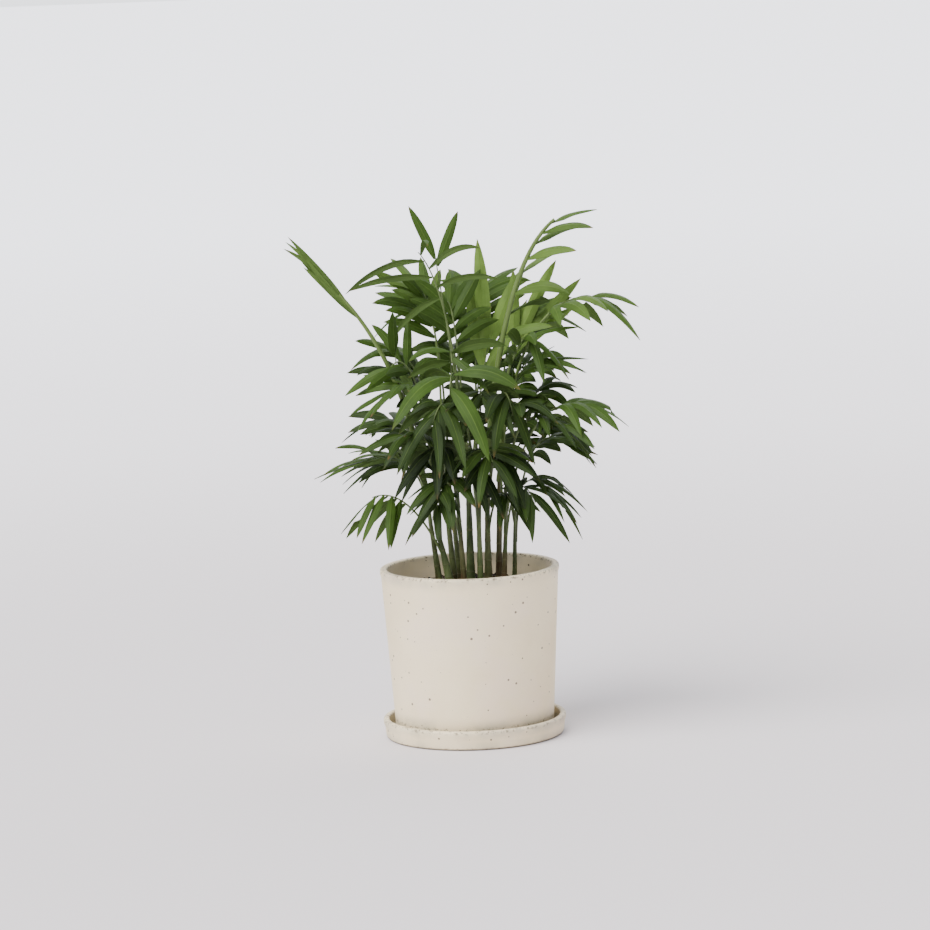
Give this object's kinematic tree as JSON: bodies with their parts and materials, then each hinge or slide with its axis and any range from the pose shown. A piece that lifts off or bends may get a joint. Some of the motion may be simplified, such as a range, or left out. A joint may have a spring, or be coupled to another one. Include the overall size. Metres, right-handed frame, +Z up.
{
  "type": "potted parlor palm",
  "caption": "Bushy clump of feathery palm fronds on thin upright stems, rooted in soil in a tapered stoneware pot that stands in a shallow saucer.",
  "frame": {"origin": "middle of the saucer's underside, on the surface that it stands on", "axes": "+Z up, the side seen in the picture faces -Y, +X to the picture's right"},
  "size_m": [0.318, 0.2642, 0.4916],
  "materials": {
    "stoneware": "matt cream stoneware with sparse brown specks",
    "soil": "dark moist potting mix",
    "leaf": "satin green leaf and stem"
  },
  "bodies": {
    "root": {"saucer": "stoneware", "pot": "stoneware", "soil": "soil", "palm_01": "leaf", "palm_02": "leaf", "palm_03": "leaf", "palm_04": "leaf", "palm_05": "leaf", "palm_06": "leaf", "palm_07": "leaf", "palm_08": "leaf", "palm_09": "leaf", "palm_10": "leaf", "palm_11": "leaf", "palm_12": "leaf", "palm_13": "leaf"}
  },
  "joints": []
}
